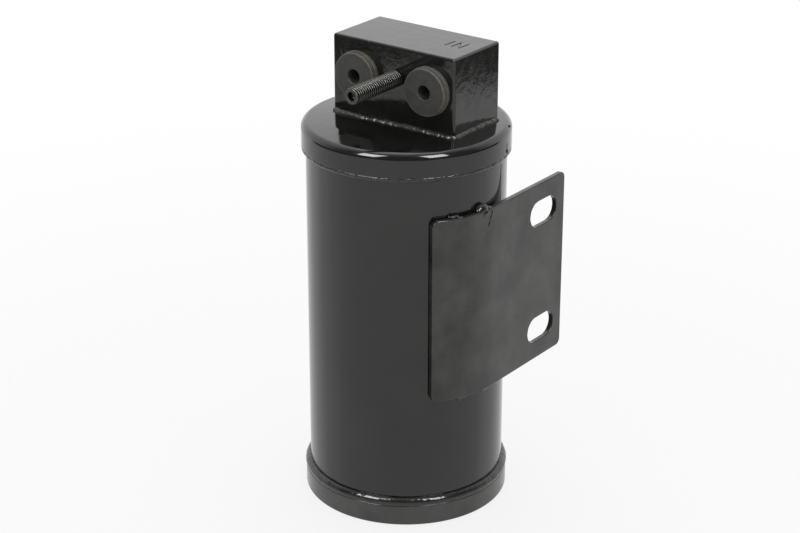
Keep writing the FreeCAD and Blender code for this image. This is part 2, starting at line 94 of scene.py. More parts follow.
def enamel(name, finish):
    # Black stoving enamel is a dark coat whose look is all reflection. Waves and peel make the reflections
    # wander, haze spreads them, and small raised nibs catch points of light. Sizes are in millimetres.
    material, add, place = newMaterial(name)
    cloud = add("TexNoise", {"Vector": place, "Scale": 1 / (finish["cloudSize"] * mm), "Detail": 3.0})
    colour = add("ValToRGB", (cloud,), ((0.3, finish["dark"]), (0.7, finish["light"])))
    haze = add("TexNoise", {
        "Vector": place, "Scale": 1 / (finish["hazeSize"] * mm), "Detail": 4.0, "Roughness": 0.6})
    gloss = add("MapRange", (haze, 0.3, 0.75, finish["gloss"], finish["haze"]))
    drawn = add("VectorMath", (place, (1, 1, finish.get("drawn", 1))), operation="MULTIPLY")
    wave = add("TexNoise", {"Vector": drawn, "Scale": 1 / (finish["waveSize"] * mm), "Detail": 1.0})
    waved = add("Bump", {"Height": wave, "Distance": finish["waveDepth"] * mm})
    peel = add("TexNoise", {"Vector": place, "Scale": 1 / (finish["peelSize"] * mm), "Detail": 1.5})
    peeled = add("Bump", {"Height": peel, "Distance": finish["peelDepth"] * mm, "Normal": waved})
    cells = add("TexVoronoi", {"Vector": place, "Scale": 1 / (finish["nibSpacing"] * mm)})
    nib = add("MapRange", (cells, finish["nibSize"], 0.0, 0.0, 1.0))
    dotted = add("Bump", {"Height": nib, "Distance": finish["nibDepth"] * mm, "Normal": peeled})
    closeMaterial(add, {
        "Base Color": colour, "Roughness": gloss, "IOR": finish.get("ior", 1.5), "Normal": dotted})
    return material


# A profile is a list of (radius, height, corner radius) read clockwise: top, outside, underside.
def filletPath(corners, closed):
    # points with outward normals; each corner becomes an arc of its own radius, in steps of 11 degrees
    count = len(corners)
    points = []
    for i, (r, z, bend) in enumerate(corners):
        here = np.array((r, z), float)
        if not closed and i in (0, count - 1):
            other = np.array(corners[1 if i == 0 else count - 2][:2], float)
            run = (other - here) if i == 0 else (here - other)
            run /= np.linalg.norm(run)
            points.append((r, z, -run[1], run[0]))
            continue
        into = here - np.array(corners[i - 1][:2], float)
        out = np.array(corners[(i + 1) % count][:2], float) - here
        into /= np.linalg.norm(into)
        out /= np.linalg.norm(out)
        turn = atan2(into[0] * out[1] - into[1] * out[0], float(into @ out))
        cut = bend * tan(abs(turn) / 2)
        start = here - into * cut
        first = np.array((-into[1], into[0]))
        steps = max(2, ceil(abs(turn) / radians(11)))
        side = 1 if turn > 0 else -1
        centre = start + first * bend * side
        for k in range(steps + 1):
            a = turn * k / steps
            n = np.array((first[0] * cos(a) - first[1] * sin(a),
                          first[0] * sin(a) + first[1] * cos(a)))
            p = centre - n * bend * side
            points.append((p[0], p[1], n[0], n[1]))
    return points


def longRuns(points, closed, step):
    # extra rows on long straight runs, so that reflections and local dents have vertices to follow
    out = []
    count = len(points)
    for i in range(count if closed else count - 1):
        a = np.array(points[i])
        b = np.array(points[(i + 1) % count])
        parts = max(1, int(np.linalg.norm(a[:2] - b[:2]) / step))
        out += [tuple(a + (b - a) * k / parts) for k in range(parts)]
    if not closed:
        out.append(points[-1])
    return out


def latheMesh(corners, closed, segments=256, place=None, step=12.0):
    # turns the profile round the Z axis, with the profile's own normals, then lays it in place
    rows = longRuns(filletPath(corners, closed), closed, step)
    verts, normals, rings, faces = [], [], [], []
    for r, z, nr, nz in rows:
        onAxis = r < 1e-6
        ring = []
        for k in range(1 if onAxis else segments):
            a = 2 * pi * k / segments
            ring.append(len(verts))
            verts.append((r * cos(a) * mm, r * sin(a) * mm, z * mm))
            upright = (0, 0, copysign(1, nz))
            normals.append(upright if onAxis else (nr * cos(a), nr * sin(a), nz))
        rings.append(ring)
    for i in range(len(rings) if closed else len(rings) - 1):
        a, b = rings[i], rings[(i + 1) % len(rings)]
        for k in range(segments):
            n = (k + 1) % segments
            if len(a) == 1 and len(b) == 1:
                break
            if len(a) == 1:
                faces.append((a[0], b[k], b[n]))
            elif len(b) == 1:
                faces.append((a[k], b[0], a[n]))
            else:
                faces.append((a[k], b[k], b[n], a[n]))
    mesh = bpy.data.meshes.new("lathe")
    mesh.from_pydata(verts, [], faces)
    mesh.polygons.foreach_set("use_smooth", [True] * len(mesh.polygons))
    mesh.update()
    mesh.normals_split_custom_set_from_vertices([Vector(n).normalized() for n in normals])
    if place is not None:
        mesh.transform(place)
    return mesh


def newObject(name, data):
    made = bpy.data.objects.new(name, data)
    bpy.context.collection.objects.link(made)
    return made


def finishPiece(mesh, name, material, slotName, *nodes):
    # a finished piece rides on the root body and stands for its CAD nodes
    piece = newObject(name, mesh)
    mesh.name = name
    if not mesh.materials:
        mesh.materials.append(material)
    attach(piece, "root")
    if nodes:
        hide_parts(*nodes)
    return piece


def plainMesh(mesh, modifiers):
    # applies modifiers, given as (kind, settings, tree inputs), and returns the plain mesh
    holder = newObject("holder", mesh)
    for kind, settings, values in modifiers:
        modifier = holder.modifiers.new(kind, kind)
        for name, value in settings.items():
            setattr(modifier, name, value)
        if values:
            for item in modifier.node_group.interface.items_tree:
                if item.item_type == "SOCKET" and item.in_out == "INPUT" and item.name in values:
                    modifier[item.identifier] = values[item.name]
    holder.update_tag()
    evaluated = holder.evaluated_get(bpy.context.evaluated_depsgraph_get())
    made = bpy.data.meshes.new_from_object(evaluated)
    bpy.data.objects.remove(holder)
    return made


def joinMeshes(meshes):
    # several meshes as one, normals kept
    holders = [newObject("part", mesh) for mesh in meshes]
    with bpy.context.temp_override(active_object=holders[0], object=holders[0], selected_objects=holders,
                                   selected_editable_objects=holders):
        bpy.ops.object.join()
    mesh = holders[0].data
    bpy.data.objects.remove(holders[0])
    return mesh


# The can: a drawn wall, the pressed cap over it and the cup it stands in. All sizes of the pieces are in
# millimetres, where the CAD model has them.
can = {"radius": 47.85, "wall": 2.3, "low": 2.1, "high": 189.3, "edgeRound": 0.3}
topCap = {"radius": 49.9, "inner": 48.0, "wall": 1.9, "top": 191.9, "edge": 179.3, "crown": 36.0, "drop": 0.7,
          "crownBend": 6.0, "knuckle": 3.4, "edgeRound": 0.7, "lipRound": 0.3, "innerKnuckle": 1.5,
          "innerCrownBend": 4.0}
bottomCap = {"radius": 50.1, "inner": 48.0, "height": 11.0, "floor": 2.5, "round": 1.1, "lipRound": 1.25,
             "seat": 2.05, "seatWidth": 1.9}

# The wall has long soft waves down its length, so the soft boxes bend a little in it.
canEnamel = enamel("black enamel, sprayed and stoved", {
    "dark": "#121211", "light": "#1c1c1a", "cloudSize": 30, "gloss": 0.07, "haze": 0.12, "hazeSize": 9,
    "waveSize": 15, "waveDepth": 0.34, "drawn": 0.05, "peelSize": 1.6, "peelDepth": 0.003, "nibSpacing": 9,
    "nibSize": 0.05, "nibDepth": 0.03})
# The cap's shorter waves and faint peel break up what it mirrors.
capEnamel = enamel("black enamel on a pressed cap", {
    "dark": "#121211", "light": "#1d1d1b", "cloudSize": 20, "gloss": 0.06, "haze": 0.14, "hazeSize": 7,
    "waveSize": 8, "waveDepth": 0.07, "peelSize": 1.5, "peelDepth": 0.007, "nibSpacing": 6, "nibSize": 0.07,
    "nibDepth": 0.06})
# The cup is handled most, so it is paler and its reflections are hazy.
cupEnamel = enamel("black enamel, dulled by handling", {
    "dark": "#30302d", "light": "#444440", "cloudSize": 14, "gloss": 0.12, "haze": 0.28, "hazeSize": 5,
    "waveSize": 9, "waveDepth": 0.04, "peelSize": 1.0, "peelDepth": 0.006, "nibSpacing": 4, "nibSize": 0.07,
    "nibDepth": 0.06})

inside = can["radius"] - can["wall"]
wallProfile = [(radius, height, can["edgeRound"]) for radius, height in (
    (inside, can["high"]), (can["radius"], can["high"]), (can["radius"], can["low"]), (inside, can["low"]))]
finishPiece(latheMesh(wallProfile, True, step=6.0), "canWall", canEnamel, "black_paint", "can_tube")

shoulder = topCap["top"] - topCap["drop"]
capProfile = [
    (0, topCap["top"], 0), (topCap["crown"], topCap["top"], topCap["crownBend"]),
    (topCap["radius"] - 0.05, shoulder - 0.25, topCap["knuckle"]),
    (topCap["radius"], topCap["edge"], topCap["edgeRound"]),
    (topCap["inner"], topCap["edge"], topCap["lipRound"]),
    (topCap["inner"], shoulder - topCap["wall"], topCap["innerKnuckle"]),
    (topCap["crown"], topCap["top"] - topCap["wall"], topCap["innerCrownBend"]),
    (0, topCap["top"] - topCap["wall"], 0)]
finishPiece(latheMesh(capProfile, False, step=4.0), "topCapShell", capEnamel, "black_paint", "top_cap")

# inside the cup the tube stands on a narrow seat beside the floor
cupProfile = [
    (0, bottomCap["floor"], 0), (bottomCap["inner"] - 2, bottomCap["floor"], 0.2),
    (bottomCap["inner"] - bottomCap["seatWidth"], bottomCap["seat"], 0.05),
    (bottomCap["inner"], bottomCap["seat"], 0.05), (bottomCap["inner"], bottomCap["height"], 0.3),
    (bottomCap["radius"], bottomCap["height"], bottomCap["lipRound"]),
    (bottomCap["radius"], 0, bottomCap["round"]), (0, 0, 0)]
finishPiece(latheMesh(cupProfile, False, step=4.0), "bottomCapShell", cupEnamel, "black_paint", "bottom_cap")
print("can made")


# Weld beads: a path swept by a Geometry Nodes tree, with arc ripples and lumps along it.
def newTree(name, sockets):
    tree = bpy.data.node_groups.new(name, "GeometryNodeTree")
    tree.interface.new_socket("Geometry", in_out="INPUT", socket_type="NodeSocketGeometry")
    tree.interface.new_socket("Geometry", in_out="OUTPUT", socket_type="NodeSocketGeometry")
    for label, kind in sockets:
        tree.interface.new_socket(label, in_out="INPUT", socket_type="NodeSocket" + kind)
    add = partial(addNode, tree)
    return tree, add, add("NodeGroupInput").outputs


def closeTree(add, geometry, material):
    real = add("GeometryNodeRealizeInstances", {"Geometry": geometry})
    painted = add("GeometryNodeSetMaterial", {"Geometry": real, "Material": material})
    add("NodeGroupOutput", {"Geometry": painted})


def beadTree():
    tree, add, given = newTree("weld bead", (
        ("Bead radius", "Float"), ("Ripple pitch", "Float"), ("Ripple height", "Float"),
        ("Lump size", "Float"), ("Lump height", "Float"), ("Seed", "Float"), ("Step", "Float"),
        ("Material", "Material")))
    curve = add("GeometryNodeMeshToCurve", {"Mesh": given["Geometry"]})
    even = add("GeometryNodeResampleCurve", {"Curve": curve, "Length": given["Step"]}, mode="LENGTH")
    keep = add("GeometryNodeCaptureAttribute")
    keep.capture_items.new("FLOAT", "Along")
    tree.links.new(even.outputs[0], keep.inputs["Geometry"])
    tree.links.new(add("GeometryNodeSplineParameter").outputs["Length"], keep.inputs["Along"])
    ring = add("GeometryNodeCurvePrimitiveCircle", {"Resolution": 28, "Radius": given["Bead radius"]})
    body = add("GeometryNodeCurveToMesh", {"Curve": keep.outputs["Geometry"], "Profile Curve": ring})
    # the arc's ripples wander a little along the path, so none is the same as the next
    place = add("GeometryNodeInputPosition")
    wander = add("TexNoise", {
        "Vector": place, "W": given["Seed"], "Scale": 180.0, "Detail": 1.0}, noise_dimensions="4D")
    turns = add("Math", (keep.outputs["Along"], given["Ripple pitch"]), operation="DIVIDE")
    drift = add("Math", (wander, 2.5), operation="MULTIPLY")
    phase = add("Math", (turns, drift), operation="ADD")
    angle = add("Math", (phase, pi), operation="MULTIPLY")
    sine = add("Math", (angle,), operation="SINE")
    arch = add("Math", (sine,), operation="ABSOLUTE")
    dip = add("Math", (arch, 1.0), operation="SUBTRACT")
    ripple = add("Math", (dip, given["Ripple height"]), operation="MULTIPLY")
    lumpScale = add("Math", (1.0, given["Lump size"]), operation="DIVIDE")
    lumps = add("TexNoise", {
        "Vector": place, "W": given["Seed"], "Scale": lumpScale, "Detail": 2.0}, noise_dimensions="4D")
    sunk = add("Math", (lumps, 0.75), operation="SUBTRACT")
    swell = add("Math", (sunk, given["Lump height"]), operation="MULTIPLY")
    both = add("Math", (ripple, swell), operation="ADD")
    outward = add("GeometryNodeInputNormal")
    push = add("VectorMath", {0: outward, "Scale": both}, operation="SCALE")
    moved = add("GeometryNodeSetPosition", {"Geometry": body, "Offset": push})
    closeTree(add, add("GeometryNodeSetShadeSmooth", {"Geometry": moved}), given["Material"])
    return tree


beadMaker = beadTree()


def pathMesh(points, closed=True):
    mesh = bpy.data.meshes.new("path")
    count = len(points)
    edges = [(i, (i + 1) % count) for i in range(count if closed else count - 1)]
    mesh.from_pydata([Vector(p) * mm for p in points], edges, [])
    return mesh


def ringPoints(radius, z, count=240):
    return [(radius * cos(2 * pi * k / count), radius * sin(2 * pi * k / count), z)
            for k in range(count)]


def weldBead(points, settings, material):
    values = {name: value * mm for name, value in settings.items() if name != "Seed"}
    values["Seed"] = settings["Seed"]
    values["Material"] = material
    return plainMesh(pathMesh(points), [("NODES", {"node_group": beadMaker}, values)])


# Over a broad bead or a tack the enamel has run smooth and catches short highlights.
weldEnamel = enamel("black enamel run over a weld bead", {
    "dark": "#151514", "light": "#262624", "cloudSize": 6, "gloss": 0.1, "haze": 0.22, "hazeSize": 3,
    "waveSize": 2.5, "waveDepth": 0.04, "peelSize": 0.8, "peelDepth": 0.006, "nibSpacing": 4, "nibSize": 0.08,
    "nibDepth": 0.08})
# Over a narrow seam it lies thin and hazy, with small points of light.
seamEnamel = enamel("black enamel, thin and dull over a weld seam", {
    "dark": "#1c1c1a", "light": "#33332f", "cloudSize": 3, "gloss": 0.22, "haze": 0.42, "hazeSize": 2,
    "waveSize": 2.0, "waveDepth": 0.07, "peelSize": 0.6, "peelDepth": 0.012, "nibSpacing": 2.5,
    "nibSize": 0.12, "nibDepth": 0.12})

skirtBead = {"Bead radius": 1.6, "Ripple pitch": 2.4, "Ripple height": 0.07, "Lump size": 3.5,
             "Lump height": 0.9, "Seed": 3.0, "Step": 0.35}
skirtPath = ringPoints(can["radius"] + 0.6, topCap["edge"] - 0.75)
finishPiece(weldBead(skirtPath, skirtBead, seamEnamel), "skirtWeld", seamEnamel, "weld_paint", "top_weld")

baseBead = {"Bead radius": 2.72, "Ripple pitch": 3.1, "Ripple height": 0.03, "Lump size": 5.5,
            "Lump height": 0.5, "Seed": 11.0, "Step": 0.35}
basePath = ringPoints(can["radius"] - 0.05, bottomCap["height"] + 1.05)
finishPiece(weldBead(basePath, baseBead, weldEnamel), "baseWeld", weldEnamel, "weld_paint", "bottom_weld")

block = {"x": 0.9, "y": 6.1, "width": 70.2, "depth": 36.0, "height": 37.7, "foot": 191.9, "bevel": 1.2,
         "tapRadius": 3.6, "tapDepth": 14.0}
frontY = block["y"] - block["depth"] / 2
blockTop = block["foot"] + block["height"]
# the foot weld follows the block's outline; along the left of the front it pools outwards
footWeld = {"insetX": 0.9, "insetY": 0.2, "bend": 2.2, "sink": 0.5, "pool": 1.3, "poolFrom": 6,
            "poolLength": 22, "poolEnd": 4}


def footPath():
    # the foot of the block, with rounded corners; the bead drops with the cap's shoulder
    bend = footWeld["bend"]
    halfX, halfY = block["width"] / 2 - footWeld["insetX"], block["depth"] / 2 - footWeld["insetY"]
    points = []
    for sx, sy, start in ((1, 1, 0), (-1, 1, 90), (-1, -1, 180), (1, -1, 270)):
        for k in range(7):
            a = radians(start + 15 * k)
            points.append((block["x"] + sx * (halfX - bend) + bend * cos(a),
                           block["y"] + sy * (halfY - bend) + bend * sin(a)))
    full = []
    for (ax, ay), (bx, by) in zip(points, points[1:] + points[:1]):
        parts = max(1, int(hypot(bx - ax, by - ay) / 2))
        full += [(ax + (bx - ax) * k / parts, ay + (by - ay) * k / parts) for k in range(parts)]
    out = []
    for x, y in full:
        if y < block["y"] - halfY + 0.01:
            inwards = min(1.0, max(0.0, (footWeld["poolFrom"] - x) / footWeld["poolLength"]))
            y -= footWeld["pool"] * inwards * min(1.0, (x - block["x"] + halfX) / footWeld["poolEnd"])
        r = hypot(x, y)
        drop = topCap["drop"] * max(0.0, r - topCap["crown"]) / (topCap["radius"] - topCap["crown"])
        out.append((x, y, topCap["top"] - drop - footWeld["sink"]))
    return out


footBead = {"Bead radius": 2.4, "Ripple pitch": 1.2, "Ripple height": 0.07, "Lump size": 1.9,
            "Lump height": 1.1, "Seed": 27.0, "Step": 0.3}
footMesh = weldBead(footPath(), footBead, seamEnamel)
finishPiece(footMesh, "blockFootWeld", seamEnamel, "weld_paint", "block_weld")
print("weld beads made")


# The block: milled bar with broken edges, bored ports, a tapped hole and a small stamped port mark.
ports = {"x": 1.6, "pitch": 40.4, "z": 212.3, "bore": 15.0, "seat": 12.0}
stud = {"x": 2.8, "z": 214.5, "reach": 33.6, "crest": 3.95, "pitch": 1.411, "depth": 0.62, "cup": 2.2,
        "cupDepth": 3.5}
portMark = {
    "strokes": [((19.0, 3.9), (19.6, 11.5)), ((22.7, 3.8), (23.2, 11.7)), ((26.9, 3.6), (27.5, 11.4))],
    "slant": ((23.3, 11.0), (26.8, 4.4)), "width": 0.75, "depth": 0.5, "slantWidth": 0.45, "slantDepth": 0.12}

# The block's coat is thick, with orange peel, so what it mirrors looks pebbled.
blockEnamel = enamel("black enamel, thick over a milled block", {
    "dark": "#151514", "light": "#22221f", "cloudSize": 10, "gloss": 0.06, "haze": 0.16, "hazeSize": 4,
    "waveSize": 4.5, "waveDepth": 0.045, "peelSize": 1.1, "peelDepth": 0.017, "nibSpacing": 5,
    "nibSize": 0.08, "nibDepth": 0.12})
# In the stamped mark the enamel is painted shade: matt and very dark, so the strokes read as black lines.
markShadeEnamel = enamel("black enamel with painted shade in a stamped mark", {
    "dark": "#050505", "light": "#0b0b0a", "cloudSize": 2, "gloss": 0.55, "haze": 0.75, "hazeSize": 1,
    "ior": 1.2, "waveSize": 1, "waveDepth": 0.02, "peelSize": 0.5, "peelDepth": 0.01, "nibSpacing": 3,
    "nibSize": 0.05, "nibDepth": 0.02})


def boxMesh(low, high):
    mesh = bpy.data.meshes.new("box")
    maker = bmesh.new()
    bmesh.ops.create_cube(maker, size=1.0)
    size = Vector(high) - Vector(low)
    for v in maker.verts:
        v.co = Vector((low[i] + (v.co[i] + 0.5) * size[i]) * mm for i in range(3))
    maker.to_mesh(mesh)
    maker.free()
    return mesh


def strokeMesh(start, end, width, depth):
    # one punched stroke of the port mark, cut into the top face, with a little draft
    a, b = Vector(start), Vector(end)
    run = (b - a).normalized()
    side = Vector((-run.y, run.x)) * width / 2
    verts = []
    for z, grow in ((blockTop - depth, -0.12), (blockTop + 0.5, 0.25)):
        for p, s in ((a - run * grow, -1), (b + run * grow, -1), (b + run * grow, 1), (a - run * grow, 1)):
            verts.append(Vector((*(p + side * s * (1 + grow)), z)) * mm)
    mesh = bpy.data.meshes.new("stroke")
    mesh.from_pydata(verts, [], [
        (3, 2, 1, 0), (4, 5, 6, 7), (0, 1, 5, 4), (1, 2, 6, 5), (2, 3, 7, 6), (3, 0, 4, 7)])
    return mesh


def layInFront(x, z):
    # local Z points out of the block's front
    turn = Matrix(((1, 0, 0, 0), (0, 0, -1, 0), (0, 1, 0, 0), (0, 0, 0, 1)))
    return Matrix.Translation(Vector((x, frontY, z)) * mm) @ turn


def blockMesh():
    low = (block["x"] - block["width"] / 2, frontY, block["foot"])
    high = (block["x"] + block["width"] / 2, frontY + block["depth"], blockTop)
    # the three uprights are struck deep and carry the painted-shade enamel, the slanting stroke is faint
    cutters = [strokeMesh(a, b, portMark["width"], portMark["depth"]) for a, b in portMark["strokes"]]
    for cutter in cutters:
        cutter.materials.append(markShadeEnamel)
    cutters.append(strokeMesh(*portMark["slant"], portMark["slantWidth"], portMark["slantDepth"]))
    proud = 2.0  # how far a cutter stands out of the front face
    radius, depth = ports["bore"] / 2, ports["seat"]
    bore = [(0, proud, 0), (radius, proud, 0.01), (radius, -depth, 0.01), (0, -depth, 0)]
    for side in (-1, 1):
        place = layInFront(ports["x"] + side * ports["pitch"] / 2, ports["z"])
        cutters.append(latheMesh(bore, False, 64, place, 40))
    radius, depth = block["tapRadius"], block["tapDepth"]
    tapped = [(0, proud, 0), (radius, proud, 0.01), (radius, -depth, 0.01), (0, -depth, 0)]
    cutters.append(latheMesh(tapped, False, 48, layInFront(stud["x"], stud["z"]), 40))
    holders = []
    for cutter in cutters:
        cutter.polygons.foreach_set("use_smooth", [False] * len(cutter.polygons))
        holders.append(newObject("cutter", cutter))
    steps = [("BEVEL", {"width": block["bevel"] * mm, "segments": 5, "limit_method": "NONE",
                        "harden_normals": False}, None)]
    steps += [("BOOLEAN", {"object": holder, "operation": "DIFFERENCE", "solver": "EXACT",
                           "material_mode": "TRANSFER"}, None)
              for holder in holders]
    blank = boxMesh(low, high)
    blank.materials.append(blockEnamel)
    mesh = plainMesh(blank, steps)
    for holder in holders:
        bpy.data.objects.remove(holder)
    mesh.polygons.foreach_set("use_smooth", [True] * len(mesh.polygons))
    mesh.set_sharp_from_angle(angle=radians(35))
    return plainMesh(mesh, [("WEIGHTED_NORMAL", {"keep_sharp": True}, None)])


finishPiece(blockMesh(), "portBlock", blockEnamel, "black_paint", "manifold_block")
print("block made")


# The stud: a rolled 5/16 inch thread. The helical grooves come from a Geometry Nodes tree.
threadLength = stud["reach"] - 0.35
tipRadius = stud["crest"] * 0.95


def rolledThreadSteel():
    # Phosphated steel, rolled thread: roots darkened by oxide and by painted shade in the grooves, under
    # rubbed, bright crests and a bright cup.
    material, add, place = newMaterial("phosphated steel, rolled thread")
    grain = add("TexNoise", {
        "Vector": place, "Scale": 1 / (0.6 * mm), "Detail": 4.0, "Roughness": 0.7})
    axisPoint = (stud["x"] * mm, 0, stud["z"] * mm)
    fromAxis = add("VectorMath", (place, axisPoint), operation="SUBTRACT")
    across = add("VectorMath", (fromAxis, (1, 0, 1)), operation="MULTIPLY")
    radius = add("VectorMath", (across,), operation="LENGTH").outputs["Value"]
    # by radius: dark in the roots (oxide and painted shade in the grooves), lighter towards the rubbed crests
    rubbed = add("MapRange", (radius, (stud["crest"] - 0.4) * mm, stud["crest"] * mm, 0.0, 0.9))
    scratched = add("MapRange", (grain, 0.3, 0.7, -0.1, 0.15))
    scuffedAndShaded = add("Math", (rubbed, scratched), operation="ADD")
    # the tip's face is bare, and so is the rim of its cup
    forward = add("SeparateXYZ", (place,)).outputs[1]
    tip = (frontY - stud["reach"]) * mm
    bare = add("MapRange", (forward, tip + 0.5 * mm, tip + 0.2 * mm, 0.0, 0.75))
    cup = add("MapRange", (radius, (stud["cup"] + 0.35) * mm, stud["cup"] * mm, 0.0, 0.6))
    end = add("Math", (bare, cup), operation="MAXIMUM")
    worn = add("Math", (scuffedAndShaded, end), operation="MAXIMUM", use_clamp=True)
    gloss = add("MapRange", (worn, 0.0, 1.0, 0.55, 0.28))
    closePatterned(
        add, worn, ((0.0, "#161615"), (0.5, "#31312e"), (1.0, "#74736e")), gloss, grain, 0.01, 1.0)
    return material


def threadTree():
    tree, add, given = newTree("rolled thread", (
        ("Length", "Float"), ("Crest radius", "Float"), ("Depth", "Float"), ("Pitch", "Float"),
        ("Run out", "Float"), ("Rows", "Int"), ("Material", "Material")))
    grid = add("GeometryNodeMeshGrid", {
        "Size X": 1.0, "Size Y": given["Length"], "Vertices X": 73, "Vertices Y": given["Rows"]})
    # the grid's X becomes one turn round the axis, and its Y the way along it
    spread = add("SeparateXYZ", (add("GeometryNodeInputPosition"),)).outputs
    turn = add("Math", (spread[0], 0.5), operation="ADD")
    half = add("Math", (given["Length"], 0.5), operation="MULTIPLY")
    height = add("Math", (spread[1], half), operation="ADD")
    left = add("Math", (given["Length"], height), operation="SUBTRACT")
    rise = add("Math", (height, given["Pitch"]), operation="DIVIDE")
    helix = add("Math", (rise, turn), operation="SUBTRACT")
    phase = add("Math", (helix,), operation="FRACT")
    # a 60 degree groove between a narrow flat crest and a rounded root
    centred = add("Math", (phase, 0.5), operation="SUBTRACT")
    folded = add("Math", (centred,), operation="ABSOLUTE")
    ridge = add("Math", (folded, 2.0), operation="MULTIPLY")
    groove = add("MapRange", (ridge, 0.14, 0.9), interpolation_type="SMOOTHSTEP")
    fade = add("MapRange", (left, 0.0, given["Run out"], 0.35, 1.0))
    share = add("Math", (groove, fade), operation="MULTIPLY")
    cut = add("Math", (share, given["Depth"]), operation="MULTIPLY")
    rolled = add("Math", (given["Crest radius"], cut), operation="SUBTRACT")
    # the last half turn narrows to the tip's chamfer
    narrow = add("Math", (given["Crest radius"], 0.95), operation="MULTIPLY")
    chamfer = add("MapRange", (left, 0.0, given["Run out"], narrow, given["Crest radius"]))
    radius = add("Math", (rolled, chamfer), operation="MINIMUM")
    angle = add("Math", (turn, 2 * pi), operation="MULTIPLY")
    level = []
    for side in ("COSINE", "SINE"):
        way = add("Math", (angle,), operation=side)
        level.append(add("Math", (radius, way), operation="MULTIPLY"))
    spot = add("CombineXYZ", (*level, height))
    turned = add("GeometryNodeSetPosition", {"Geometry": grid, "Position": spot})
    sealed = add("GeometryNodeMergeByDistance", {"Geometry": turned, "Distance": 1e-6})
    closeTree(add, add("GeometryNodeSetShadeSmooth", {"Geometry": sealed}), given["Material"])
    return tree


threadSteel = rolledThreadSteel()
threadMesh = plainMesh(pathMesh([(0, 0, 0), (0, 0, 1)], False), [("NODES", {"node_group": threadTree()}, {
    "Length": threadLength * mm, "Crest radius": stud["crest"] * mm, "Depth": stud["depth"] * mm,
    "Pitch": stud["pitch"] * mm, "Run out": 0.7 * mm, "Rows": 430, "Material": threadSteel})])
cupFloor = stud["reach"] - stud["cupDepth"]
tipProfile = [
    (0, cupFloor, 0), (stud["cup"] * 0.9, cupFloor + 0.6, 0.3), (stud["cup"], stud["reach"], 0.15),
    (tipRadius, stud["reach"], 0.3), (tipRadius, threadLength - 0.05, 0.02)]
tipMesh = latheMesh(tipProfile, False, 72, None, 2.0)
tipMesh.materials.append(threadSteel)
studMesh = joinMeshes([threadMesh, tipMesh])
studMesh.transform(layInFront(stud["x"], stud["z"]))
finishPiece(studMesh, "threadedStud", threadSteel, "dark_steel", "stud")
print("stud made")


# The closing plugs: two stepped rubber flanges, with a blind hole in the front one.
plug = {"backRadius": 11.7, "back": 2.4, "frontRadius": 11.35, "front": 2.1, "step": 0.45, "shank": 7.4,
        "shankLength": 10.0, "hole": 3.4, "holeDepth": 9.0, "rubFrom": 10.5, "rubTo": 11.5}


def mouldedRubber():
    # Moulded rubber: dull dark olive-grey, dusty on the flats, paler and browner where its rims are rubbed.
    material, add, place = newMaterial("moulded rubber, dusty matt")
    dust = add("TexNoise", {
        "Vector": place, "Scale": 1 / (3.0 * mm), "Detail": 5.0, "Roughness": 0.65})
    # the two plugs mirror each other about the middle of the ports, so one radius serves both
    middle = (ports["x"] * mm, 0, ports["z"] * mm)
    fromMiddle = add("VectorMath", (place, middle), operation="SUBTRACT")
    parts = add("SeparateXYZ", (fromMiddle,)).outputs
    aside = add("Math", (parts[0],), operation="ABSOLUTE")
    across = add("Math", (aside, ports["pitch"] / 2 * mm), operation="SUBTRACT")
    flat = add("CombineXYZ", (across, 0.0, parts[2]))
    radius = add("VectorMath", (flat,), operation="LENGTH").outputs["Value"]
    rim = add("MapRange", (radius, plug["rubFrom"] * mm, plug["rubTo"] * mm, 0.0, 0.75))
    patchy = add("MapRange", (dust, 0.3, 0.65, 0.2, 1.0))
    rubbed = add("Math", (rim, patchy), operation="MULTIPLY")
    dusted = add("Math", (dust, 0.3), operation="MULTIPLY")
    worn = add("Math", (rubbed, dusted), operation="ADD", use_clamp=True)
    colour = add("ValToRGB", (worn,), ((0.08, "#292824"), (0.24, "#3d3c37"), (0.9, "#605b4f")))
    dull = add("MapRange", (dust, 0.3, 0.7, 0.5, 0.7))
    grain = add("TexNoise", {"Vector": place, "Scale": 1 / (0.25 * mm)})
    fine = add("Bump", {"Height": grain, "Distance": 0.01 * mm})
    dimple = add("TexNoise", {"Vector": place, "Scale": 1 / (2.0 * mm)})
    uneven = add("Bump", {"Height": dimple, "Distance": 0.02 * mm, "Normal": fine})
    closeMaterial(add, {"Base Color": colour, "Roughness": dull, "Normal": uneven})
    return material


plugRubber = mouldedRubber()
plugFace = plug["back"] + plug["front"]
neck = plug["frontRadius"] - plug["step"]  # the shallow groove between the two flanges
plugProfile = [
    (0, plugFace - plug["holeDepth"], 0), (plug["hole"], plugFace - plug["holeDepth"], 0.6),
    (plug["hole"], plugFace, 0.35), (plug["frontRadius"], plugFace, 0.5),
    (plug["frontRadius"], plug["back"] + 0.1, 0.1), (neck, plug["back"] + 0.05, 0.1),
    (neck, plug["back"] - 0.15, 0.1), (plug["backRadius"], plug["back"] - 0.2, 0.35),
    (plug["backRadius"], 0.02, 0.3), (plug["shank"], 0.02, 0.2), (plug["shank"], -plug["shankLength"], 1.0),
    (0, -plug["shankLength"], 0)]
for side, pieceName, nodeName in ((1, "inletPlug", "inlet_plug"), (-1, "outletPlug", "outlet_plug")):
    place = layInFront(ports["x"] + side * ports["pitch"] / 2, ports["z"])
    plugMesh = latheMesh(plugProfile, False, 128, place, 3.0)
    finishPiece(plugMesh, pieceName, plugRubber, "plug_rubber", nodeName)
print("plugs made")


# The bracket: sheet bent round the can and running straight out along it, with two level slots.
bracket = {"gap": 0.8, "sheet": 2.65, "edgeRound": 0.45, "wrap": 40.4, "reach": 59.9, "low": 66.2,
           "height": 92.2, "corner": 3.2, "slotWidth": 12.9, "slotLength": 22.3, "slotPitch": 61.2,
           "slotY": 41.8, "shearOut": 0.55, "shearIn": 0.5}
